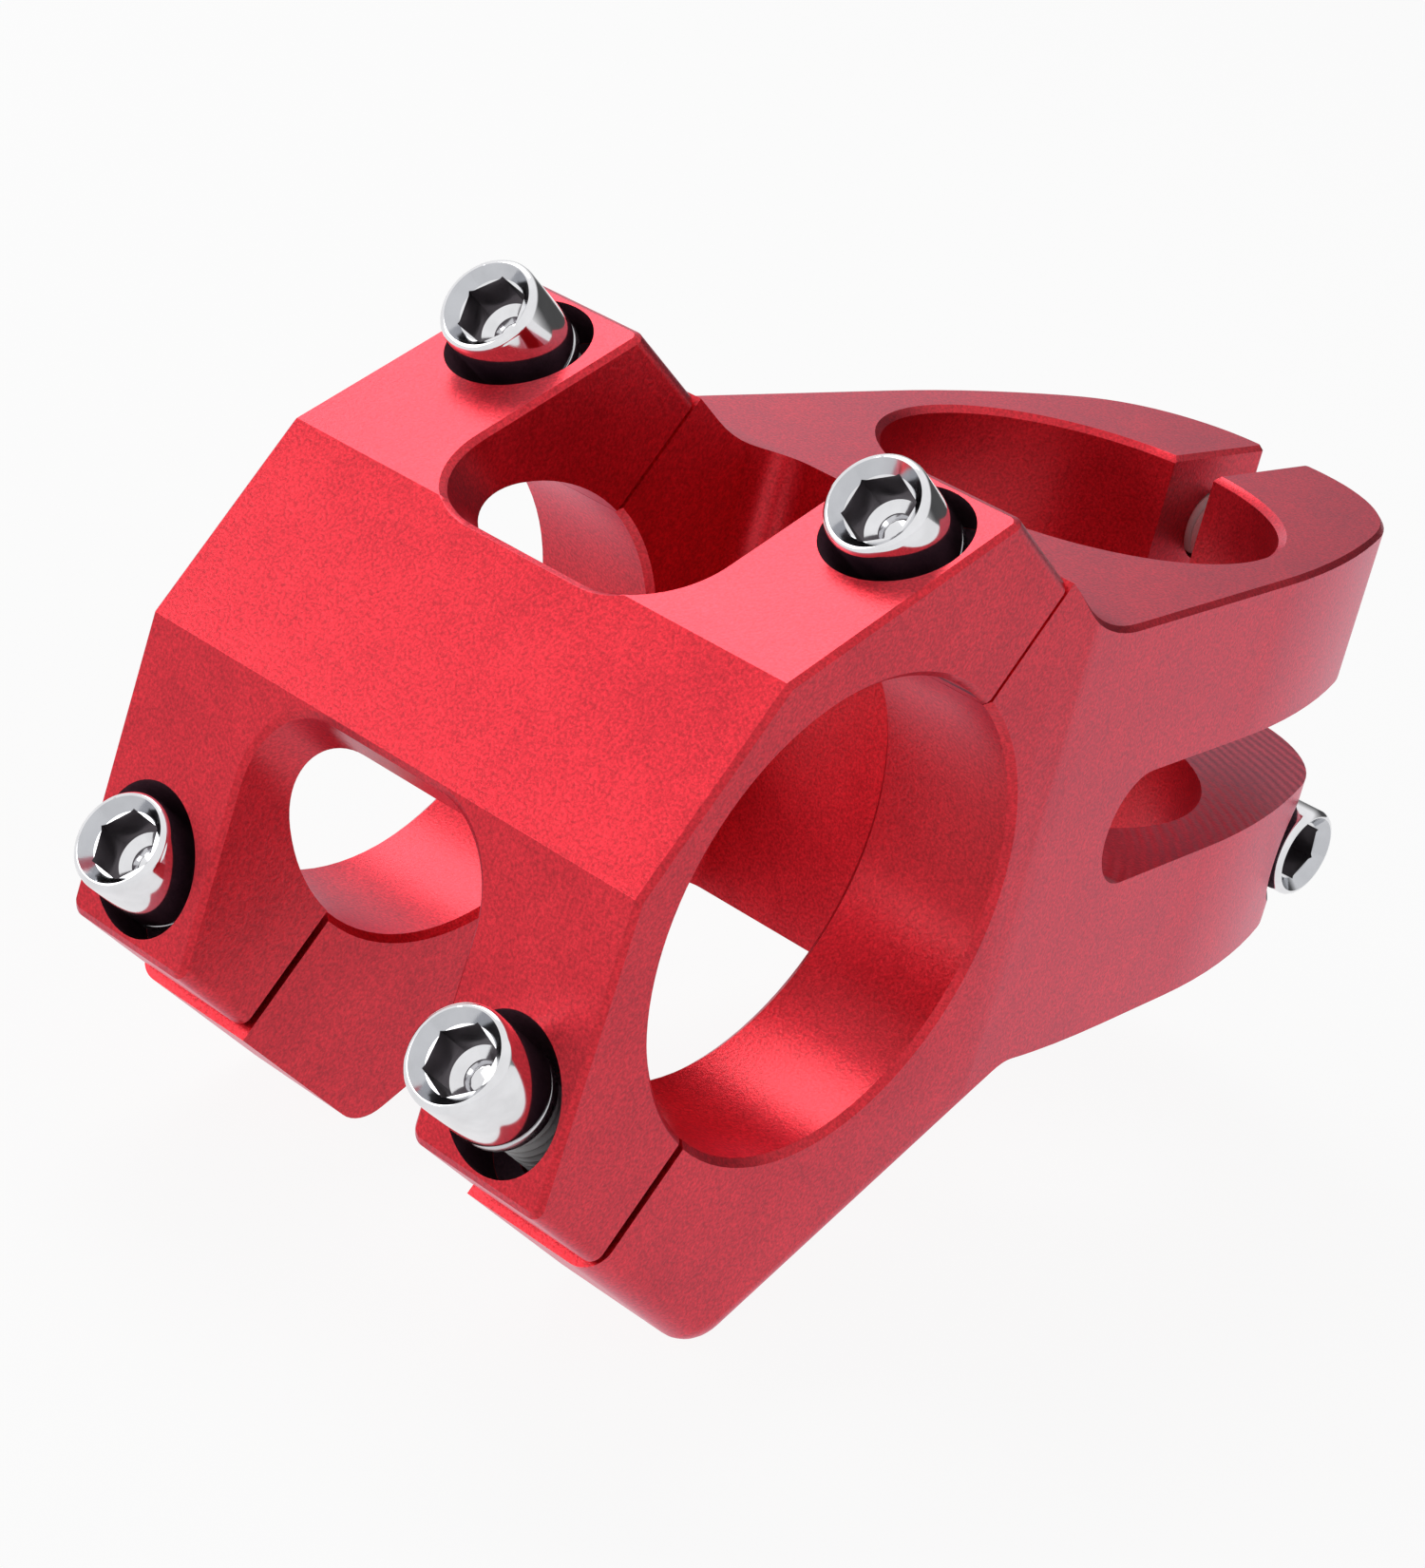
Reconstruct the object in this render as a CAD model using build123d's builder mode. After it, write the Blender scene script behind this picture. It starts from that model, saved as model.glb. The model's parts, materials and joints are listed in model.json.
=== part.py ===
from build123d import *
import math
import os

# Handlebar stem: a machined body, a clamping face plate, four face plate screws
# and two steerer pinch screws, each on its own flat washer.
#
# Frame: origin on the steerer axis at the lower face of the steerer clamp,
# +Z up along the steerer, +X forward to the handlebar, +Y to the rider's left.
# All sizes are in millimetres.

os.makedirs("parts", exist_ok=True)

# --- driving dimensions ------------------------------------------------------

# Interfaces
bar_radius = 15.9
steerer_radius = 14.3
clamp_height = 31.4

# Handlebar clamp: its axis, its width and the lean of its split face
bar_x = 45.1
bar_z = 15.1
clamp_width = 42.2
split_lean = 35.6

# Face plate section, measured from the bar axis: "up" runs along the split
# face and "out" runs forward at a right angle to it
end_up = 25.0
end_out = 8.5
flat_up = 7.45
flat_out = 18.6
body_end_up = 25.2
body_end_down = 25.6
gap_top = 0.06
gap_bottom = 0.45
plan_corner = 2.0
ear_corner = 0.9

# Gap between the two arms of the body, and the two face plate windows
pocket_half = 10.3
pocket_back_x = 21.3
pocket_corner = 3.0
window_base_up = 6.9
window_base_down = 7.8
window_corner = 5.6

# Outline of the body seen from the side
top_blend = 13.0
under_angle = 30.0
under_start_x = 21.8
under_blend = 4.0
chin_blend = 3.4

# Outline of the steerer clamp seen from above
taper_x = 26.4
taper_angle = 6.4
shoulder_x = 0
flank_radius = 77.0
flank_turn = 14.0
rear_radius = 12.0
rear_blend = 0.6

# Slot, notch and edge breaks
slot_width = 3.5
notch_height = 8.2
notch_front_x = 16.5
steerer_chamfer_top = 0.45
steerer_chamfer_foot = 0.4
bar_chamfer = 0.45
edge_break = 0.35
split_break = 0.25

# Screws and washers
thread_radius = 2.5
tapped_radius = 2.55
clearance_radius = 2.8
tip_chamfer = 0.6
head_radius = 3.4
head_height = 6.0
head_chamfer = 0.35
hex_across_flats = 4.1
hex_depth = 3.2
drill_depth = 0.9
washer_radius = 3.3
washer_bore = 2.58
washer_thickness = 0.8
recess_radius = 4.4

# Face plate screws: places on the split face, seat, and how far each head
# stands out of its seat in the rest position
plate_screw_up = 20.1
plate_screw_side = 16.0
plate_seat_out = 3.6
plate_screw_length = 16.0
plate_hole_end = -13.2
plate_head_base = {
    "upper_left": 9.0,
    "upper_right": 10.0,
    "lower_left": 11.5,
    "lower_right": 8.4,
}

# Pinch screws: axis behind the steerer, seat, length and rest position
pinch_x = -21.0
pinch_seat = 5.6
pinch_screw_length = 14.0
pinch_hole_end = 8.1
pinch_head_base = 8.4

# --- derived frames ----------------------------------------------------------

lean = math.radians(split_lean)
out_x = math.cos(lean)
out_z = math.sin(lean)
bar_center = (bar_x, 0, bar_z)

# Section plane of the handlebar clamp: local x is "out", local y is "up"
section_plane = Plane(origin=bar_center, x_dir=(out_x, 0, out_z), z_dir=(0, -1, 0))
# Split face: local x is the rider's left, local y is "up", the normal is "out"
split_plane = Plane(origin=bar_center, x_dir=(0, 1, 0), z_dir=(out_x, 0, out_z))

ring_height = (clamp_height - notch_height) / 2
big = 120


def clamp_point(out, up):
    """Body (x, z) of a point given from the bar axis as out and up."""
    x = bar_x + out * out_x - up * out_z
    z = bar_z + out * out_z + up * out_x
    return x, z


def crossing(p, p_angle, q, q_angle):
    """Point where two lines in the XZ plane meet, each a point and an angle."""
    px, pz = math.cos(math.radians(p_angle)), math.sin(math.radians(p_angle))
    qx, qz = math.cos(math.radians(q_angle)), math.sin(math.radians(q_angle))
    along = ((q[0] - p[0]) * qz - (q[1] - p[1]) * qx) / (px * qz - pz * qx)
    return p[0] + along * px, p[1] + along * pz


def local(edge):
    """Edge centre in the split plane's frame: left, up, out."""
    return split_plane.to_local_coords(edge.center())


# --- stem body ---------------------------------------------------------------

split_top = clamp_point(0, body_end_up)
split_bottom = clamp_point(0, -body_end_down)
top_corner = crossing(split_top, split_lean, (0, clamp_height), 0)
under_corner = (under_start_x, 0)
chin_corner = crossing(split_bottom, split_lean, under_corner, -under_angle)
rear_x = -40

with BuildPart() as stem_body:
    # Side outline, as wide as the handlebar clamp
    with BuildSketch(Plane.XZ) as side:
        with BuildLine():
            FilletPolyline(
                split_bottom,
                chin_corner,
                under_corner,
                (rear_x, 0),
                radius=(chin_blend, under_blend),
                close=False,
            )
            FilletPolyline(
                (rear_x, clamp_height),
                top_corner,
                split_top,
                radius=(top_blend),
                close=False,
            )
            Line((rear_x, 0), (rear_x, clamp_height))
            Line(split_top, split_bottom)
        make_face()
    extrude(amount=clamp_width / 2, both=True)

    # Round the lower side edges; the taper below cuts this away near the steerer
    side_edges = stem_body.faces().filter_by(Axis.Y).edges()
    lower_edges = side_edges.filter_by(lambda e: e.center().X > rear_x + 0.1 and e.center().Z < clamp_height / 4)
    fillet(lower_edges.filter_by(lambda e: local(e).Z < -0.01), radius=plan_corner)

    # Outline from above: the sides draw in to the rounded rear of the clamp
    with BuildSketch(Plane.XY.offset(-big / 2)) as plan:
        with BuildLine():
            shoulder_y = clamp_width / 2 - (taper_x - shoulder_x) * math.tan(math.radians(taper_angle))
            front = Line((big, 0), (big, clamp_width / 2))
            flat = Line(front @ 1, (taper_x, clamp_width / 2))
            taper = Line(flat @ 1, (shoulder_x, shoulder_y))
            flank = JernArc(start=taper @ 1, tangent=taper % 1, radius=flank_radius, arc_size=flank_turn)
            rear = JernArc(
                start=flank @ 1,
                tangent=flank % 1,
                radius=rear_radius,
                arc_size=90 - taper_angle - flank_turn,
            )
            Line(rear @ 1, ((rear @ 1).X, 0))
            mirror(about=Plane.XZ)
        make_face()
    extrude(amount=big, mode=Mode.INTERSECT)

    # Steerer bore and handlebar bore
    with BuildSketch(Plane.XY):
        Circle(steerer_radius)
    extrude(amount=clamp_height, mode=Mode.SUBTRACT)
    with BuildSketch(section_plane):
        Circle(bar_radius)
    extrude(amount=clamp_width, both=True, mode=Mode.SUBTRACT)

    # Open pocket between the two arms
    with BuildSketch(Plane.XY.offset(-big / 2)) as pocket:
        with Locations((pocket_back_x, 0)):
            Rectangle(big, 2 * pocket_half, align=(Align.MIN, Align.CENTER))
        fillet(pocket.vertices().group_by(Axis.X)[0], radius=pocket_corner)
    extrude(amount=big, mode=Mode.SUBTRACT)

    # Notch that divides the steerer clamp into an upper and a lower ring
    with BuildSketch(Plane.XZ):
        with Locations((notch_front_x, clamp_height / 2)):
            notch_box = Rectangle(big, notch_height, align=(Align.MAX, Align.CENTER))
        fillet(notch_box.vertices().group_by(Axis.X)[-1], radius=notch_height / 2 - 0.02)
    extrude(amount=clamp_width, both=True, mode=Mode.SUBTRACT)

    # Pinch slot at the rear
    with BuildSketch(Plane.XY.offset(-1)):
        Rectangle(big, slot_width, align=(Align.MAX, Align.CENTER))
    extrude(amount=clamp_height + 2, mode=Mode.SUBTRACT)
    rear_face_x = stem_body.faces().sort_by(Axis.X)[0].center().X
    slot_mouth = (
        stem_body.edges()
        .filter_by(Axis.Z)
        .filter_by(lambda e: e.center().X < rear_face_x + 0.6 and abs(abs(e.center().Y) - slot_width / 2) < 0.05)
    )
    fillet(slot_mouth, radius=rear_blend)

    # Tapped holes for the face plate screws
    with BuildSketch(split_plane):
        with GridLocations(2 * plate_screw_side, 2 * plate_screw_up, 2, 2):
            Circle(tapped_radius)
    extrude(amount=plate_hole_end, mode=Mode.SUBTRACT)

    # Pinch screw holes: the lower head is on the left, the upper on the right
    for side_sign, level in ((1, ring_height / 2), (-1, clamp_height - ring_height / 2)):
        pinch_plane = Plane(origin=(pinch_x, 0, level), x_dir=(1, 0, 0), z_dir=(0, side_sign, 0))
        with BuildSketch(pinch_plane.offset(pinch_seat)):
            Circle(recess_radius)
        extrude(amount=clamp_width, mode=Mode.SUBTRACT)
        with BuildSketch(pinch_plane):
            Circle(clearance_radius)
        extrude(amount=clamp_width, mode=Mode.SUBTRACT)
        with BuildSketch(pinch_plane):
            Circle(tapped_radius)
        extrude(amount=-pinch_hole_end, mode=Mode.SUBTRACT)

    # Lead-in chamfers of the steerer bore and the handlebar bore
    for rim_z, rim_chamfer in ((0, steerer_chamfer_foot), (clamp_height, steerer_chamfer_top)):
        steerer_rims = (
            stem_body.edges()
            .filter_by(GeomType.CIRCLE)
            .filter_by(lambda e: abs(e.radius - steerer_radius) < 0.01 and abs(e.center().Z - rim_z) < 0.01)
        )
        chamfer(steerer_rims, length=rim_chamfer)
    bar_rims = (
        stem_body.edges()
        .filter_by(GeomType.CIRCLE)
        .filter_by(lambda e: abs(e.radius - bar_radius) < 0.01)
    )
    chamfer(bar_rims, length=bar_chamfer)

    # Edge break around the upper rim of the clamp
    for lip_side in (1, -1):
        lip = (
            stem_body.edges()
            .filter_by(Axis.X)
            .filter_by(lambda e: e.center().Z > clamp_height - 0.01)
            .filter_by(lambda e: abs(e.center().Y - lip_side * slot_width / 2) < 0.05)
        )
        chamfer(lip, length=edge_break)

stem_body.part.label = "stem_body"
export_step(stem_body.part, "parts/stem_body.step")

# --- face plate --------------------------------------------------------------

with BuildPart() as face_plate:
    # Faceted section, with its split face stepped for the lower gap
    with BuildSketch(section_plane):
        with BuildLine():
            Polyline(
                (gap_bottom, 0),
                (gap_bottom, -end_up),
                (end_out, -end_up),
                (flat_out, -flat_up),
                (flat_out, flat_up),
                (end_out, end_up),
                (gap_top, end_up),
                (gap_top, 0),
                close=True,
            )
        make_face()
    extrude(amount=clamp_width / 2, both=True)

    # Plan of the plate: rounded corners and the upper and lower windows
    with BuildSketch(split_plane) as plate_plan:
        Rectangle(clamp_width, 2 * end_up)
        with Locations((0, window_base_up + big / 2), (0, -window_base_down - big / 2)):
            Rectangle(2 * pocket_half, big, mode=Mode.SUBTRACT)
        fillet(plate_plan.vertices().filter_by(lambda v: abs(v.Y) < window_base_down + 1), radius=window_corner)
    extrude(amount=big, mode=Mode.INTERSECT)
    ear_corners = (
        face_plate.edges()
        .filter_by(lambda e: e.geom_type == GeomType.LINE)
        .filter_by(lambda e: abs((e % 0.5).dot(split_plane.z_dir)) > 0.999)
        .filter_by(lambda e: abs(split_plane.to_local_coords(e.center()).Y) > end_up - 0.5)
    )
    fillet(ear_corners, radius=ear_corner)

    # Half of the handlebar bore
    with BuildSketch(section_plane):
        Circle(bar_radius)
    extrude(amount=clamp_width, both=True, mode=Mode.SUBTRACT)

    # Counterbored screw holes in the four ears
    with BuildSketch(split_plane.offset(plate_seat_out)):
        with GridLocations(2 * plate_screw_side, 2 * plate_screw_up, 2, 2):
            Circle(recess_radius)
    extrude(amount=big, mode=Mode.SUBTRACT)
    with BuildSketch(split_plane):
        with GridLocations(2 * plate_screw_side, 2 * plate_screw_up, 2, 2):
            Circle(clearance_radius)
    extrude(amount=big, mode=Mode.SUBTRACT)

    bar_rims = (
        face_plate.edges()
        .filter_by(GeomType.CIRCLE)
        .filter_by(lambda e: abs(e.radius - bar_radius) < 0.01)
        .filter_by(lambda e: abs(e.center().Y) > clamp_width / 2 - 0.1)
    )
    chamfer(bar_rims, length=bar_chamfer)

    # Edge breaks around the outer facets and around the split faces
    facets = face_plate.faces().filter_by(
        lambda f: f.geom_type == GeomType.PLANE
        and f.normal_at().dot(split_plane.z_dir) > 0.8
        and local(f).Z > plate_seat_out + 1
    )
    ridges = [e for e in facets.edges() if sum(e in f.edges() for f in facets) > 1]
    outline = facets.edges().filter_by(
        lambda e: e not in ridges
        and not (
            e.geom_type == GeomType.ELLIPSE
            and abs(abs(local(e).X) - plate_screw_side) < recess_radius + 0.1
            and abs(abs(local(e).Y) - plate_screw_up) < recess_radius + 0.1
        )
    )
    chamfer(outline, length=edge_break)
    split_faces = face_plate.faces().filter_by(
        lambda f: f.geom_type == GeomType.PLANE and f.normal_at().dot(split_plane.z_dir) < -0.99
    )
    split_outline = split_faces.edges().filter_by(
        lambda e: abs(local(e).Y) > bar_radius + 0.6
        and not (e.geom_type == GeomType.CIRCLE and abs(e.radius - clearance_radius) < 0.01)
    )
    chamfer(split_outline, length=split_break)

face_plate.part.label = "face_plate"
export_step(face_plate.part, "parts/face_plate.step")

# --- screws and washers ------------------------------------------------------


def make_screw(name, axis_plane, head_base, length):
    """Cap screw along the plane's normal, its head starting at head_base."""
    with BuildPart() as screw:
        with BuildSketch(axis_plane.offset(head_base)):
            Circle(head_radius)
        extrude(amount=head_height)
        chamfer(screw.edges().filter_by(GeomType.CIRCLE), length=head_chamfer)
        with BuildSketch(axis_plane.offset(head_base - length)):
            Circle(thread_radius)
        extrude(amount=length)
        tip = screw.edges().filter_by(lambda e: axis_plane.to_local_coords(e.center()).Z < head_base - length + 0.01)
        chamfer(tip, length=tip_chamfer)
        with BuildSketch(axis_plane.offset(head_base + head_height)):
            RegularPolygon(radius=hex_across_flats / 2, side_count=6, major_radius=False)
        extrude(amount=-hex_depth, mode=Mode.SUBTRACT)
        with BuildSketch(axis_plane.offset(head_base + head_height - hex_depth)):
            Circle(hex_across_flats / 2)
        extrude(amount=-drill_depth, taper=55, mode=Mode.SUBTRACT)
    screw.part.label = name
    export_step(screw.part, "parts/" + name + ".step")


def make_washer(name, axis_plane, head_base):
    """Flat washer that lies under the head."""
    with BuildPart() as washer:
        with BuildSketch(axis_plane.offset(head_base - washer_thickness)):
            Circle(washer_radius)
            Circle(washer_bore, mode=Mode.SUBTRACT)
        extrude(amount=washer_thickness)
    washer.part.label = name
    export_step(washer.part, "parts/" + name + ".step")


for place, head_base in plate_head_base.items():
    up_sign = 1 if place.startswith("upper") else -1
    left_sign = 1 if place.endswith("left") else -1
    hole = split_plane.from_local_coords((left_sign * plate_screw_side, up_sign * plate_screw_up, 0))
    screw_plane = Plane(origin=hole, x_dir=(0, 1, 0), z_dir=split_plane.z_dir)
    make_screw("face_plate_screw_" + place, screw_plane, head_base, plate_screw_length)
    make_washer("face_plate_washer_" + place, screw_plane, head_base)

for ring, side_sign, level in (("lower", 1, ring_height / 2), ("upper", -1, clamp_height - ring_height / 2)):
    screw_plane = Plane(origin=(pinch_x, 0, level), x_dir=(1, 0, 0), z_dir=(0, side_sign, 0))
    make_screw("pinch_screw_" + ring, screw_plane, pinch_head_base, pinch_screw_length)
    make_washer("pinch_washer_" + ring, screw_plane, pinch_head_base)
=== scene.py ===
# %% [markdown]
# # A short handlebar stem
#
# The stem clamps a handlebar to the fork of a bicycle. It has a machined body,
# a face plate that closes round the handlebar, and six socket screws with a
# flat washer under each head. This lesson loads the stem's fixed frame, gives
# the two red machined parts soft edges and an anodised finish, models the
# screws and washers by hand, and lights the whole in a white studio.

# %% Load the frame
import json
import math

import bpy
from mathutils import Matrix, Vector

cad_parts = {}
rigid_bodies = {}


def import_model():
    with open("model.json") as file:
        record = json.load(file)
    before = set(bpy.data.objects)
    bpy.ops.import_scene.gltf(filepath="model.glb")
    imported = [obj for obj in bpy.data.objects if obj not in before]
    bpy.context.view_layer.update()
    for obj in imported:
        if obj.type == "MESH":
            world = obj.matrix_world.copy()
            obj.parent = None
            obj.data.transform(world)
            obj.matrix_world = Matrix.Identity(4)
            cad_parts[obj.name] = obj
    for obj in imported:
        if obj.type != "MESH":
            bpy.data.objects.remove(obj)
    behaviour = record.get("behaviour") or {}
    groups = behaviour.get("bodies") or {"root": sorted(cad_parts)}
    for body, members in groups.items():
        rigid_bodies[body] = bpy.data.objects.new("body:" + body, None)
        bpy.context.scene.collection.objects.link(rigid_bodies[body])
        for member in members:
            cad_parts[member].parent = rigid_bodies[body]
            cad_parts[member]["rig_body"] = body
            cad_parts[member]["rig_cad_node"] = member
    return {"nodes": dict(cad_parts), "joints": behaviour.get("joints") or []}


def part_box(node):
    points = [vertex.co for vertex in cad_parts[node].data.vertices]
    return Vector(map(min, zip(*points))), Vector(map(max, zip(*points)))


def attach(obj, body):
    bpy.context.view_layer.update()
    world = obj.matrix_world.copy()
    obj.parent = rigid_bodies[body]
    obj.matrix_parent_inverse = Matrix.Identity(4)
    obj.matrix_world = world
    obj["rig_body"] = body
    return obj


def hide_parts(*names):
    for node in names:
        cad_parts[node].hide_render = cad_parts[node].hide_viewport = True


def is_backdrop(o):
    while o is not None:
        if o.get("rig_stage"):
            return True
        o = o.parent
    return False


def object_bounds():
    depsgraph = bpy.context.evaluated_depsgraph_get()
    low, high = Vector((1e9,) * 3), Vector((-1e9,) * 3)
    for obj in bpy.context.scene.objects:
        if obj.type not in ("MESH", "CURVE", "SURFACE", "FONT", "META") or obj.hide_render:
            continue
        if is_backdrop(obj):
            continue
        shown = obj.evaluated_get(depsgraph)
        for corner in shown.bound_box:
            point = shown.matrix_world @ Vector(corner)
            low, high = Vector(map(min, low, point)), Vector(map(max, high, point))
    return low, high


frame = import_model()
cad_box = [list(corner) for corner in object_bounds()]
print("nodes:", sorted(frame["nodes"]))
print("box:", cad_box)

# %% [markdown]
# ## The camera
#
# The stem is looked at from its front left, a little from above, with a lens
# long enough to keep its facets from spreading. The camera leans, so that the
# stem lies across the picture. A look-at point and a lean are easier to change
# than three angles, so the turn is worked out from them.

# %% Camera
eye = Vector((0.22652, 0.14541, 0.10740))
aim = Vector((0.04018, 0.00567, 0.01658))
camera_lean = 14.4
lens_length = 91.81
sight = (aim - eye).normalized()
lean = Matrix.Rotation(math.radians(camera_lean), 4, "Z").to_quaternion()

bpy.ops.object.camera_add(location=eye)
camera = bpy.context.object
camera.name = "studio_camera"
camera.rotation_mode = "QUATERNION"
camera.rotation_quaternion = sight.to_track_quat("-Z", "Y") @ lean
camera.data.lens = lens_length
camera.data.clip_start = 0.01
camera.data.clip_end = 10
bpy.context.scene.camera = camera
print("camera distance to aim:", round((aim - eye).length, 4))

# %% [markdown]
# ## Small helpers
#
# Blender's operators act on whatever is selected, and the frame arrives
# selected. So each piece starts by clearing the selection, and faces or edges
# are then picked by where they lie.

# %% Selection helpers
def clear_selection():
    """Leave edit mode and select nothing."""
    if bpy.context.mode != "OBJECT":
        bpy.ops.object.mode_set(mode="OBJECT")
    bpy.ops.object.select_all(action="DESELECT")


def make_active(piece):
    """Select one object alone."""
    clear_selection()
    piece.select_set(True)
    bpy.context.view_layer.objects.active = piece


def pick(piece, kind, test):
    """In edit mode, select the faces, or else the edges, that pass test."""
    bpy.ops.object.mode_set(mode="EDIT")
    bpy.ops.mesh.select_mode(type=kind)
    bpy.ops.mesh.select_all(action="DESELECT")
    bpy.ops.object.mode_set(mode="OBJECT")
    mesh = piece.data
    if kind == "FACE":
        for face in mesh.polygons:
            face.select = test(face.center, face.normal)
    else:
        for edge in mesh.edges:
            a, b = (mesh.vertices[i].co for i in edge.vertices)
            edge.select = test(a, b)
    bpy.ops.object.mode_set(mode="EDIT")


def apply_modifiers(piece):
    """Apply every modifier of a piece, in order."""
    make_active(piece)
    for modifier in list(piece.modifiers):
        bpy.ops.object.modifier_apply(modifier=modifier.name)


# %% [markdown]
# ## The anodised finish
#
# The body and the face plate are aluminium, blasted with fine beads, then dyed
# and anodised red. Blasting leaves a satin surface with grains of about a fifth
# of a millimetre. The dye sits in a clear oxide layer over bare metal, so the
# colour is a tinted metal with a thin clear coat that turns grey-pink where it
# is seen at a low angle. One noise at grain size drives the bump and a slight
# colour change, and a broad one clouds the dye, as a real bath does.

# %% Node helpers
def adder(tree):
    """A function that adds a node to tree and sets its inputs or settings."""

    def add(kind, **settings):
        node = tree.nodes.new(kind)
        for key, value in settings.items():
            if key in node.inputs:
                node.inputs[key].default_value = value
            else:
                setattr(node, key, value)
        return node

    return add


def new_material(name):
    """A material with its node tree, its shader, and a function that adds nodes."""
    material = bpy.data.materials.new(name)
    material.use_nodes = True
    tree = material.node_tree
    return material, tree, tree.nodes["Principled BSDF"], adder(tree)


def remap(add, link, source, to_range, from_range=(0.0, 1.0)):
    """A socket that carries source over from one range to another."""
    node = add("ShaderNodeMapRange")
    names = ("From Min", "From Max", "To Min", "To Max")
    for name, value in zip(names, (*from_range, *to_range)):
        node.inputs[name].default_value = value
    link(source, node.inputs["Value"])
    return node.outputs["Result"]


def ramp(add, stops):
    """A colour ramp node with these (position, colour) stops."""
    node = add("ShaderNodeValToRGB")
    elements = node.color_ramp.elements
    elements[0].position, elements[0].color = stops[0]
    elements[1].position, elements[1].color = stops[-1]
    for position, colour in stops[1:-1]:
        element = elements.new(position)
        element.color = colour
    return node


# %% Red anodised aluminium
red_tones = ((0.50, 0.012, 0.024, 1), (0.58, 0.016, 0.029, 1), (0.66, 0.022, 0.036, 1))
# Near-black tones painted on the screw recesses as painted shade, not the dye's own colour
recess_shade_tones = ((0.055, 0.022, 0.032, 1), (0.085, 0.032, 0.048, 1), (0.12, 0.042, 0.062, 1))
grains_per_metre = 4800
clouds_per_metre = 160
fine_relief = 0.00003


def anodised(name, tones, grain_depth=0.5, roughness=0.38, metal=0.92):
    """Bead-blasted, dyed aluminium, clouded through its three tones."""
    material, tree, shader, add = new_material(name)
    link = tree.links.new
    place = add("ShaderNodeTexCoord")

    blast = add("ShaderNodeTexNoise", Scale=grains_per_metre, Detail=2.0, Roughness=0.6)
    clouds = add("ShaderNodeTexNoise", Scale=clouds_per_metre, Detail=6.0, Roughness=0.7)
    link(place.outputs["Object"], blast.inputs["Vector"])
    link(place.outputs["Object"], clouds.inputs["Vector"])

    cloud_colour = ramp(add, list(zip((0.25, 0.5, 0.75), tones)))
    link(clouds.outputs["Fac"], cloud_colour.inputs["Fac"])
    speck = remap(add, link, blast.outputs["Fac"], to_range=(0.66, 1.26), from_range=(0.3, 0.7))
    tint = add("ShaderNodeHueSaturation")
    link(cloud_colour.outputs["Color"], tint.inputs["Color"])
    link(speck, tint.inputs["Value"])
    link(tint.outputs["Color"], shader.inputs["Base Color"])

    rough = remap(add, link, clouds.outputs["Fac"], to_range=(roughness - 0.05, roughness + 0.05))
    link(rough, shader.inputs["Roughness"])

    bump = add("ShaderNodeBump", Strength=grain_depth, Distance=fine_relief)
    link(blast.outputs["Fac"], bump.inputs["Height"])
    link(bump.outputs["Normal"], shader.inputs["Normal"])

    shader.inputs["Metallic"].default_value = metal
    shader.inputs["Specular Tint"].default_value = (1.0, 0.76, 0.94, 1)
    shader.inputs["Coat Weight"].default_value = 0.36
    shader.inputs["Coat Roughness"].default_value = 0.25
    shader.inputs["Coat IOR"].default_value = 1.48
    link(bump.outputs["Normal"], shader.inputs["Coat Normal"])
    return material


red = anodised("red_anodised", red_tones)
# The screw recesses get painted shade: a near-black, less metallic finish
recess_painted_shade = anodised("recess_painted_shade_anodised", recess_shade_tones, roughness=0.55, metal=0.2)
print("finishes:", red.name, recess_painted_shade.name)


# %% Milled faces, with the cutter's arcs
milled_tones = ((0.40, 0.012, 0.026, 1), (0.48, 0.016, 0.032, 1), (0.56, 0.022, 0.040, 1))
cutter_centre = (0.03, -0.012, 0)
arcs_per_metre = 1100
# A ring texture turns by 20 radians in a metre at scale 1
ring_turn = 20


def milled(name, tones, centre):
    """The same dye over fine tool marks, in arcs round centre."""
    material = anodised(name, tones, grain_depth=0.15, roughness=0.34)
    tree = material.node_tree
    add = adder(tree)
    link = tree.links.new
    place = add("ShaderNodeTexCoord")
    shift = add("ShaderNodeMapping", Location=[-c for c in centre])
    link(place.outputs["Object"], shift.inputs["Vector"])
    marks = add("ShaderNodeTexWave", wave_type="RINGS", rings_direction="Z", Distortion=1.5, Detail=2.0)
    marks.inputs["Scale"].default_value = arcs_per_metre * 2 * math.pi / ring_turn
    link(shift.outputs["Vector"], marks.inputs["Vector"])
    groove = add("ShaderNodeBump", Strength=0.9, Distance=fine_relief)
    link(marks.outputs["Fac"], groove.inputs["Height"])
    grain = next(node for node in tree.nodes if node.type == "BUMP" and node != groove)
    link(groove.outputs["Normal"], grain.inputs["Normal"])
    return material


milled_red = milled("milled_red", milled_tones, cutter_centre)
print("tool marks per millimetre:", arcs_per_metre / 1000)

# %% [markdown]
# ## The body and the face plate
#
# Both are machined from solid, and a deburring pass leaves every sharp edge
# broken by a fraction of a millimetre. That thin bevel catches the light and
# outlines each facet. The frame's own meshes stay untouched: each is
# copied, its loose triangles are merged into whole faces, and a bevel rounds
# every edge that turns by more than the crease angle. That angle is just under
# the thirty degrees between two facets, and well over the few degrees between
# the flats of a curved face. Weighted normals then keep each facet flat right
# up to its bevel.

# %% Soft-edged copies
crease = math.radians(25)
edge_round = 0.00016
merge_gap = 0.000002
level_angle = math.radians(0.5)


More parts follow.
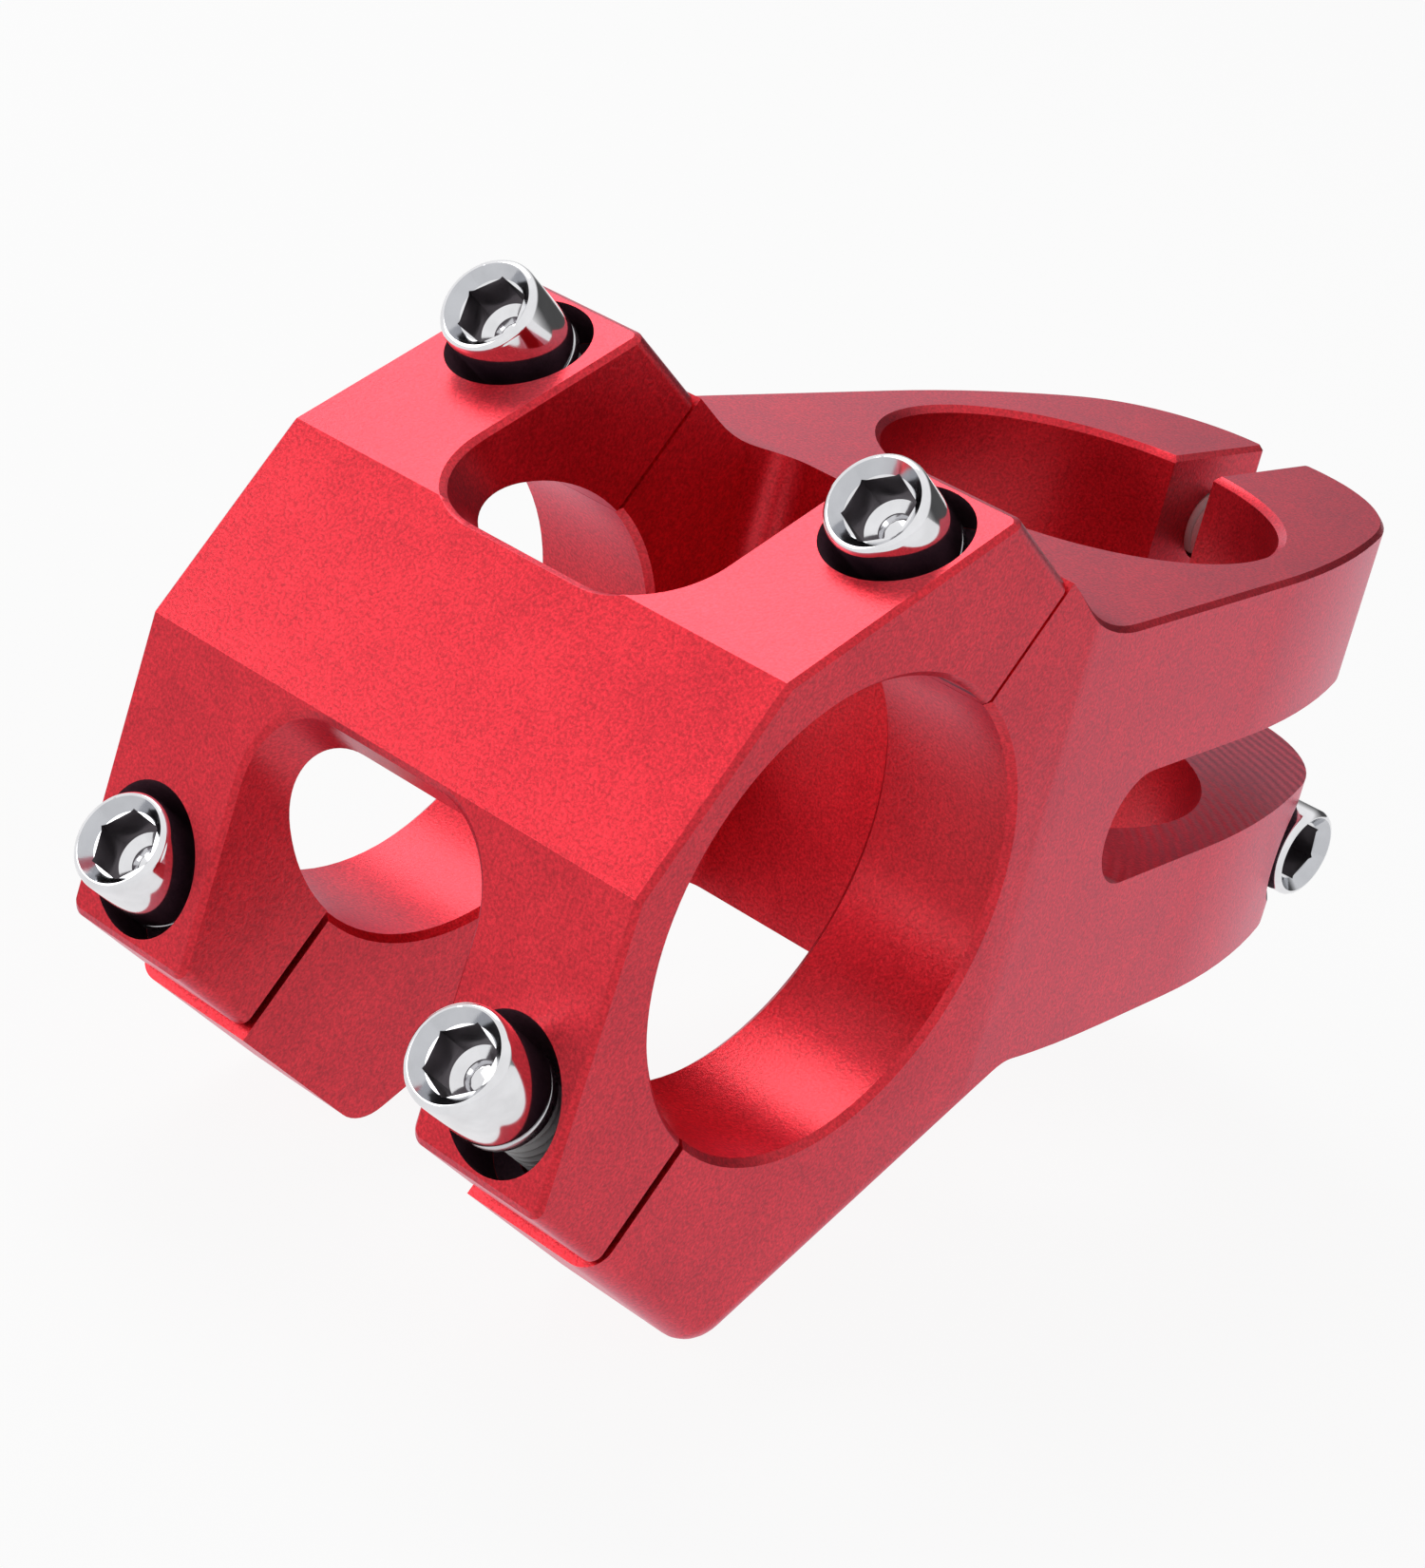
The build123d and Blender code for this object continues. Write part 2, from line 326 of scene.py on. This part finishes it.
def soft_edged(node):
    """A merged copy of a frame node with its sharp edges rounded."""
    clear_selection()
    piece = frame["nodes"][node].copy()
    piece.data = frame["nodes"][node].data.copy()
    piece.name = node + "_finished"
    piece.parent = None
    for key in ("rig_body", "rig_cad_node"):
        if key in piece:
            del piece[key]
    bpy.context.scene.collection.objects.link(piece)
    make_active(piece)
    bpy.ops.object.mode_set(mode="EDIT")
    bpy.ops.mesh.select_all(action="SELECT")
    bpy.ops.mesh.remove_doubles(threshold=merge_gap)
    bpy.ops.mesh.dissolve_limited(angle_limit=level_angle)
    bpy.ops.object.mode_set(mode="OBJECT")
    bpy.ops.mesh.customdata_custom_splitnormals_clear()
    soften = piece.modifiers.new("soft_edges", "BEVEL")
    soften.width = edge_round
    soften.segments = 2
    soften.limit_method = "ANGLE"
    soften.angle_limit = crease
    soften.miter_outer = "MITER_ARC"
    soften.use_clamp_overlap = True
    apply_modifiers(piece)
    bpy.ops.object.shade_smooth_by_angle(angle=crease)
    flatten = piece.modifiers.new("flat_facets", "WEIGHTED_NORMAL")
    flatten.mode = "FACE_AREA"
    flatten.weight = 100
    flatten.keep_sharp = True
    apply_modifiers(piece)
    piece.data.materials.clear()
    piece.data.materials.append(red)
    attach(piece, node)
    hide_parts(node)
    print(piece.name, "faces:", len(piece.data.polygons))
    return piece


body = soft_edged("stem_body")
plate = soft_edged("face_plate")

# %% [markdown]
# The faces of the notch were milled after the outside was blasted, so they show
# the cutter's arcs. The walls and seats of the screw recesses get near-black
# tones as painted shade, for the shade that falls deep in them. Both get their own finish by place.

# %% Second finishes
notch_levels = (0.0116, 0.0198)
level_gap = 0.0001
recess_radius = 0.0044
recess_reach = 0.0085
wall_gap = 0.0002
# A face's normal runs along a direction past the first, and across it under the second
along_it = 0.99
across_it = 0.1


def joint_of(name):
    """The frame's joint of this name."""
    return next(joint for joint in frame["joints"] if joint["name"] == name)


def refinish(piece, finish, test):
    """Give finish to the faces whose centre and normal pass test."""
    piece.data.materials.append(finish)
    index = len(piece.data.materials) - 1
    count = 0
    for face in piece.data.polygons:
        if test(face.center, face.normal):
            face.material_index = index
            count += 1
    print(finish.name, "on", count, "faces of", piece.name)


def in_recess(names):
    """A test for the wall and the seat of the recess round each named screw."""
    hinges = [joint_of(name + "_turn") for name in names]
    lines = [(Vector(hinge["pos_m"]), Vector(hinge["axis"])) for hinge in hinges]

    def test(centre, normal):
        for foot, axis in lines:
            along = (centre - foot).dot(axis)
            away = (centre - foot - axis * along).length
            seat = away < recess_radius and normal.dot(axis) > along_it
            wall = abs(away - recess_radius) < wall_gap and abs(normal.dot(axis)) < across_it
            if along > -recess_reach and (seat or wall):
                return True
        return False

    return test


def on_notch(centre, normal):
    """True on the floor and the ceiling of the notch."""
    level_face = abs(normal.z) > along_it
    return level_face and any(abs(centre.z - level) < level_gap for level in notch_levels)


screw_names = sorted(node for node in frame["nodes"] if "screw" in node)
pinch_names = [name for name in screw_names if name.startswith("pinch")]
plate_names = [name for name in screw_names if name.startswith("face_plate")]
refinish(body, milled_red, on_notch)
# Painted shade on the walls and seats of the screw recesses
refinish(body, recess_painted_shade, in_recess(pinch_names))
refinish(plate, recess_painted_shade, in_recess(plate_names))

# %% [markdown]
# ## Bright steel
#
# The screws are polished steel. A mirror finish shows its surroundings, so it
# only needs a pale metal colour, a low roughness and very faint smears. The
# turned mouth of each socket is a little duller, the socket's walls are rough
# from the broach and painted near black as painted shade, and the washers are plain grey.

# %% Polished steel
smears_per_metre = 700
smear_relief = 0.00001


def polished(name, roughness=0.09, colour=(0.80, 0.80, 0.82, 1)):
    """Steel of this colour, bright or dull by its roughness."""
    material, tree, shader, add = new_material(name)
    link = tree.links.new
    place = add("ShaderNodeTexCoord")
    smear = add("ShaderNodeTexNoise", Scale=smears_per_metre, Detail=3.0, Roughness=0.5)
    link(place.outputs["Object"], smear.inputs["Vector"])
    rough = remap(add, link, smear.outputs["Fac"], to_range=(roughness * 0.6, roughness * 1.5))
    link(rough, shader.inputs["Roughness"])
    darker = tuple(c * 0.9 for c in colour[:3]) + (1,)
    tone = ramp(add, [(0.3, darker), (0.7, colour)])
    link(smear.outputs["Fac"], tone.inputs["Fac"])
    link(tone.outputs["Color"], shader.inputs["Base Color"])
    bump = add("ShaderNodeBump", Strength=0.05, Distance=smear_relief)
    link(smear.outputs["Fac"], bump.inputs["Height"])
    link(bump.outputs["Normal"], shader.inputs["Normal"])
    shader.inputs["Metallic"].default_value = 1.0
    return material


bright_steel = polished("bright_steel")
mouth_steel = polished("turned_steel", 0.12, (0.56, 0.57, 0.60, 1))
# The socket walls: rough broached steel, painted near black as painted shade
socket_steel_painted_shade = polished("broached_steel_painted_shade", 0.38, (0.12, 0.105, 0.115, 1))
washer_steel = polished("washer_steel", 0.25, (0.62, 0.62, 0.64, 1))
print("steels:", [steel.name for steel in (bright_steel, mouth_steel, socket_steel_painted_shade, washer_steel)])

# %% [markdown]
# ## One screw
#
# A socket screw is a turned blank: a cylindrical head with rounded rims, a hex
# socket broached into it, a stepped drill point at the socket's foot, and a
# threaded shank. The socket is cut as in the workshop, with a six-sided tool, a
# shallow countersink for its mouth and a drill in three steps for its foot, each
# a boolean cutter. The thread is one narrow profile that the Screw modifier winds
# down the shank. Each of the two lengths is modelled once, standing on the origin
# with its head's underside at zero, and copied to its places.

# %% Screw sizes
head_radius = 0.0034
head_height = 0.0060
rim_round = 0.00052
hex_flats = 0.0041
hex_depth = 0.0032
hex_corner = hex_flats / 2 / math.cos(math.radians(30))
mouth_radius = 0.00290
mouth_depth = 0.0008
mouth_flare = 0.00015
mouth_taper = 0.00012
# Each step of the drill: its wide and narrow radius, its top below the hex, its depth
drill_steps = (
    (0.00194, 0.00120, 0, 0.0004),
    (0.00112, 0.00096, 0.0004, 0.0003),
    (0.00088, 0, 0.0007, 0.0004),
)
# How far cutters stand past the faces they cut, the countersink and the drill
slack = 0.0001
hair = 0.00001
around = 96
print("hex socket across corners:", round(hex_corner * 2, 5))


# %% Cutting one solid out of another
def cut(piece, tool):
    """Cut tool out of piece, then remove the tool."""
    make_active(piece)
    cutter = piece.modifiers.new("cut", "BOOLEAN")
    cutter.operation = "DIFFERENCE"
    cutter.solver = "EXACT"
    cutter.object = tool
    apply_modifiers(piece)
    bpy.data.objects.remove(tool)


# %% Head with its socket
def screw_head():
    """Head of a socket screw, its underside at zero and its axis on Z."""
    clear_selection()
    bpy.ops.mesh.primitive_cylinder_add(
        vertices=around, radius=head_radius, depth=head_height, location=(0, 0, head_height / 2)
    )
    head = bpy.context.object
    bpy.ops.object.transform_apply(location=True, rotation=True, scale=True)
    pick(head, "FACE", lambda centre, normal: abs(normal.z) > 0.9)
    bpy.ops.mesh.bevel(offset=rim_round, segments=4, affect="EDGES")

    clear_selection()
    bpy.ops.mesh.primitive_cylinder_add(
        vertices=6, radius=hex_corner, depth=2 * hex_depth, location=(0, 0, head_height)
    )
    cut(head, bpy.context.object)

    clear_selection()
    bpy.ops.mesh.primitive_cone_add(
        vertices=around,
        radius1=hex_corner - mouth_taper,
        radius2=mouth_radius + mouth_flare,
        depth=mouth_depth + slack,
        location=(0, 0, head_height + slack - (mouth_depth + slack) / 2),
    )
    cut(head, bpy.context.object)

    # The drill leaves a stepped foot: each cone is narrower than the one above it
    foot = head_height - hex_depth
    for wide, narrow, top, depth in drill_steps:
        clear_selection()
        bpy.ops.mesh.primitive_cone_add(
            vertices=around,
            radius1=narrow,
            radius2=wide,
            depth=depth + 2 * hair,
            location=(0, 0, foot - top + hair - depth / 2),
        )
        cut(head, bpy.context.object)

    # The turned mouth and the broached walls each have their own finish; the walls carry painted shade
    for finish in (bright_steel, mouth_steel, socket_steel_painted_shade):
        head.data.materials.append(finish)
    mouth_foot = head_height - mouth_depth - slack
    for face in head.data.polygons:
        reach = math.hypot(face.center.x, face.center.y)
        slope = abs(face.normal.z)
        if reach < hex_corner and face.center.z > foot and slope < across_it:
            face.material_index = 2
        elif reach < mouth_radius and face.center.z > mouth_foot and slope < 0.9:
            face.material_index = 1
    print("head faces:", len(head.data.polygons))
    return head


# %% Threaded shank
thread_radius = 0.0025
thread_pitch = 0.0008
thread_depth = 0.00045
crest_share = 0.16
turn_steps = 48
neck_length = 0.0008
tip_cut = 0.0004


def screw_shank(length):
    """Threaded shank below zero, closed at both ends."""
    clear_selection()
    middle = thread_radius - thread_depth / 2
    bpy.ops.mesh.primitive_plane_add(size=1, location=(middle, 0, 0), rotation=(math.pi / 2, 0, 0))
    shank = bpy.context.object
    shank.scale = (thread_depth, thread_pitch, 1)
    bpy.ops.object.transform_apply(location=True, rotation=True, scale=True)

    # The crest is narrow, and the root edge is left out: the next turn closes it
    pick(shank, "EDGE", lambda a, b: min(a.x, b.x) > middle)
    bpy.ops.transform.resize(value=(1, 1, crest_share), center_override=(thread_radius, 0, 0))
    pick(shank, "EDGE", lambda a, b: max(a.x, b.x) < middle)
    bpy.ops.mesh.delete(type="EDGE")
    bpy.ops.mesh.select_all(action="SELECT")
    bpy.ops.mesh.delete(type="ONLY_FACE")
    bpy.ops.object.mode_set(mode="OBJECT")

    wind = shank.modifiers.new("wind", "SCREW")
    wind.axis = "Z"
    wind.steps = turn_steps
    wind.render_steps = turn_steps
    wind.screw_offset = -thread_pitch
    wind.iterations = math.ceil(length / thread_pitch) + 2
    wind.use_merge_vertices = True
    apply_modifiers(shank)
    bpy.ops.object.mode_set(mode="EDIT")
    bpy.ops.mesh.select_all(action="SELECT")
    bpy.ops.mesh.remove_doubles(threshold=merge_gap)
    bpy.ops.transform.translate(value=(0, 0, thread_pitch))
    for height, side in ((-neck_length, 1), (tip_cut - length, -1)):
        bpy.ops.mesh.select_all(action="SELECT")
        bpy.ops.mesh.bisect(
            plane_co=(0, 0, height),
            plane_no=(0, 0, side),
            use_fill=True,
            clear_outer=True,
        )
    bpy.ops.mesh.select_all(action="SELECT")
    bpy.ops.mesh.normals_make_consistent(inside=False)
    bpy.ops.object.mode_set(mode="OBJECT")
    print("shank faces:", len(shank.data.polygons))
    return shank


# %% Neck and tip
root_radius = thread_radius - thread_depth
neck_runout = 0.0004
neck_sink = 0.0002
tip_chamfer = 0.0003
tip_bevel_length = 0.0005
tip_core_length = 0.0012
screw_crease = math.radians(28)


def turned(name, stations):
    """A closed turned piece: (height, radius) stations from the foot up."""
    clear_selection()
    (low, low_radius), rest = stations[0], stations[1:]
    bpy.ops.mesh.primitive_circle_add(
        vertices=around, radius=low_radius, fill_type="NGON", location=(0, 0, low)
    )
    piece = bpy.context.object
    piece.name = name
    bpy.ops.object.transform_apply(location=True, rotation=True, scale=True)
    bpy.ops.object.mode_set(mode="EDIT")
    bpy.ops.mesh.select_all(action="SELECT")
    height, radius = low, low_radius
    for next_height, next_radius in rest:
        bpy.ops.mesh.extrude_region_move(
            TRANSFORM_OT_translate={"value": (0, 0, next_height - height)}
        )
        scale = next_radius / radius
        bpy.ops.transform.resize(value=(scale, scale, 1), center_override=(0, 0, next_height))
        height, radius = next_height, next_radius
    bpy.ops.mesh.select_all(action="SELECT")
    bpy.ops.mesh.normals_make_consistent(inside=False)
    bpy.ops.object.mode_set(mode="OBJECT")
    return piece


def whole_screw(name, length):
    """Head, neck, thread and tip joined into one screw."""
    head = screw_head()
    shank = screw_shank(length)
    neck_stations = [
        (-neck_length - neck_runout, root_radius),
        (-neck_length, thread_radius),
        (neck_sink, thread_radius),
    ]
    tip_stations = [
        (-length, root_radius - tip_chamfer),
        (tip_bevel_length - length, root_radius),
        (tip_core_length - length, root_radius),
    ]
    neck = turned("neck", neck_stations)
    tip = turned("tip", tip_stations)
    clear_selection()
    for part in (head, shank, neck, tip):
        part.select_set(True)
    bpy.context.view_layer.objects.active = head
    bpy.ops.object.join()
    head.name = name
    bpy.ops.object.shade_smooth_by_angle(angle=screw_crease)
    return head


# %% Both screw patterns
plate_screw_length = 0.016
pinch_screw_length = 0.014
plate_screw = whole_screw("plate_screw_pattern", plate_screw_length)
pinch_screw = whole_screw("pinch_screw_pattern", pinch_screw_length)
print("plate screw triangles:", sum(len(f.vertices) - 2 for f in plate_screw.data.polygons))

# %% [markdown]
# ## One washer
#
# A flat washer is a ring with softly rounded rims. A short cylinder gives the
# outside, both ends are inset to the size of the hole, and bridging the two
# inner faces opens it.

# %% Washer
washer_radius = 0.0033
washer_bore = 0.00258
washer_thickness = 0.0008
washer_round = 0.00012
washer_crease = math.radians(30)


def flat_washer():
    """Ring standing on zero with its axis on Z."""
    clear_selection()
    bpy.ops.mesh.primitive_cylinder_add(
        vertices=around,
        radius=washer_radius,
        depth=washer_thickness,
        location=(0, 0, washer_thickness / 2),
    )
    ring = bpy.context.object
    bpy.ops.object.transform_apply(location=True, rotation=True, scale=True)
    pick(ring, "FACE", lambda centre, normal: abs(normal.z) > 0.9)
    bpy.ops.mesh.inset(thickness=washer_radius - washer_bore)
    bpy.ops.mesh.bridge_edge_loops()
    bpy.ops.object.mode_set(mode="OBJECT")
    rims = ring.modifiers.new("rims", "BEVEL")
    rims.width = washer_round
    rims.segments = 3
    apply_modifiers(ring)
    bpy.ops.object.shade_smooth_by_angle(angle=washer_crease)
    ring.data.materials.append(washer_steel)
    return ring


washer = flat_washer()
print("washer faces:", len(washer.data.polygons))

# %% [markdown]
# ## Placing the screws and washers
#
# The face plate screws stand square on the leaning split face, and the pinch
# screws lie across the steerer clamp, the lower one from the left and the upper
# one from the right. Each place comes from the frame's own joints: a screw's
# turning joint gives its axis and the middle of its head's underside. Every
# screw has been left at its own turn.

# %% Copy to place
def place_copy(pattern, node, axis, base, turn):
    """Copy a pattern so that its Z runs along axis from the point base."""
    clear_selection()
    copy = pattern.copy()
    copy.data = pattern.data.copy()
    copy.name = node + "_finished"
    bpy.context.scene.collection.objects.link(copy)
    stand = axis.to_track_quat("Z", "Y").to_matrix().to_4x4()
    spin = Matrix.Rotation(math.radians(turn), 4, "Z")
    copy.matrix_world = Matrix.Translation(base) @ stand @ spin
    make_active(copy)
    bpy.ops.object.transform_apply(location=True, rotation=True, scale=True)
    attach(copy, node)
    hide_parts(node)


def middle(node):
    """Middle of a node's box."""
    low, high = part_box(node)
    return (low + high) / 2


# %% Six screws on six washers
# Each screw's pattern, and the turn in degrees at which it was left
patterns = {
    "face_plate_screw_upper_left": (plate_screw, 4),
    "face_plate_screw_upper_right": (plate_screw, 20),
    "face_plate_screw_lower_left": (plate_screw, 11),
    "face_plate_screw_lower_right": (plate_screw, 26),
    "pinch_screw_lower": (pinch_screw, 8),
    "pinch_screw_upper": (pinch_screw, 17),
}
for node, (pattern, turn) in patterns.items():
    hinge = joint_of(node + "_turn")
    base = Vector(hinge["pos_m"])
    axis = Vector(hinge["axis"])
    place_copy(pattern, node, axis, base, turn)
    ring = node.replace("screw", "washer")
    seat = middle(ring) - axis * washer_thickness / 2
    place_copy(washer, ring, axis, seat, 0)
    print(node, "head foot at", [round(v, 5) for v in base])

for pattern in (plate_screw, pinch_screw, washer):
    bpy.data.objects.remove(pattern)

# %% [markdown]
# ## The studio
#
# The stem stands on a white floor in a white room. Rays from the camera and
# mirror rays see both as white, and the room adds only a faint even light. The
# light that falls on the stem comes mostly from two large soft lamps, so that
# its facets differ in tone. One end of the room is dark to all but the camera,
# and the polished heads mirror it as a dark band.

# %% Floor
floor_size = 3
floor_gap = 0.0002
foot_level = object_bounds()[0].z
clear_selection()
bpy.ops.mesh.primitive_grid_add(
    x_subdivisions=8, y_subdivisions=8, size=floor_size, location=(0, 0, foot_level - floor_gap)
)
floor = bpy.context.object
floor.name = "studio_floor"
floor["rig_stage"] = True
print("floor at", round(foot_level, 5))

# %% Rays that see the white
def larger(add, link, one, other):
    """A socket with the larger of two."""
    node = add("ShaderNodeMath", operation="MAXIMUM")
    link(one, node.inputs[0])
    link(other, node.inputs[1])
    return node.outputs["Value"]


def seen_or_mirrored(add, link):
    """A socket that is 1 for camera, mirror and see-through rays, else 0."""
    rays = add("ShaderNodeLightPath")
    total = rays.outputs["Is Camera Ray"]
    for kind in ("Is Glossy Ray", "Is Transmission Ray"):
        total = larger(add, link, total, rays.outputs[kind])
    return total


# %% Floor finish
floor_glow = 0.92
paper, tree, shader, add = new_material("white_paper")
link = tree.links.new
shader.inputs["Base Color"].default_value = (0.85, 0.85, 0.85, 1)
shader.inputs["Roughness"].default_value = 0.9
shader.inputs["Specular IOR Level"].default_value = 0.1
glow = add("ShaderNodeEmission", Strength=1.0)
share = add("ShaderNodeMath", operation="MULTIPLY")
share.inputs[1].default_value = floor_glow
link(seen_or_mirrored(add, link), share.inputs[0])
mix = add("ShaderNodeMixShader")
link(share.outputs["Value"], mix.inputs["Fac"])
link(shader.outputs["BSDF"], mix.inputs[1])
link(glow.outputs["Emission"], mix.inputs[2])
link(mix.outputs["Shader"], tree.nodes["Material Output"].inputs["Surface"])
floor.data.materials.append(paper)

print("floor finish:", paper.name)

# %% Room
world = bpy.data.worlds.new("white_room")
bpy.context.scene.world = world
world.use_nodes = True
backdrop = world.node_tree.nodes["Background"]
add = adder(world.node_tree)
link = world.node_tree.links.new
strength = remap(add, link, seen_or_mirrored(add, link), to_range=(0.3, 1.0))
link(strength, backdrop.inputs["Strength"])

# %% Dark end wall, hidden from the camera
wall_edges = (-0.93, -0.70)
wall_tones = (0.08, 1.0)
heading = add("ShaderNodeTexCoord")
split = add("ShaderNodeSeparateXYZ")
rays = add("ShaderNodeLightPath")
link(heading.outputs["Generated"], split.inputs["Vector"])
wall = remap(add, link, split.outputs["X"], to_range=wall_tones, from_range=wall_edges)
link(larger(add, link, wall, rays.outputs["Is Camera Ray"]), backdrop.inputs["Color"])
print("room:", world.name)


# %% Lamps
def soft_lamp(name, place, target, size, power):
    """A rectangular area lamp at place, facing target."""
    clear_selection()
    bpy.ops.object.light_add(type="AREA", location=place)
    lamp = bpy.context.object
    lamp.name = name
    lamp.data.shape = "RECTANGLE"
    lamp.data.size, lamp.data.size_y = size
    lamp.data.energy = power
    lamp.rotation_mode = "QUATERNION"
    lamp.rotation_quaternion = (Vector(target) - Vector(place)).to_track_quat("-Z", "Y")
    print(name, "of", power, "watts")


heart = (0.035, 0, 0.012)
soft_lamp("front_lamp", (0.62, -0.50, 0.24), heart, (0.6, 0.4), 1.9)
soft_lamp("top_lamp", (-0.10, -0.42, 0.68), heart, (0.4, 0.4), 2.1)

bpy.context.scene.view_settings.view_transform = "Standard"
seen_box = [list(corner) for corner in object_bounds()]
growth = [[round((b - a) * 1000, 3) for a, b in zip(*corners)] for corners in zip(cad_box, seen_box)]
print("growth, mm:", growth)
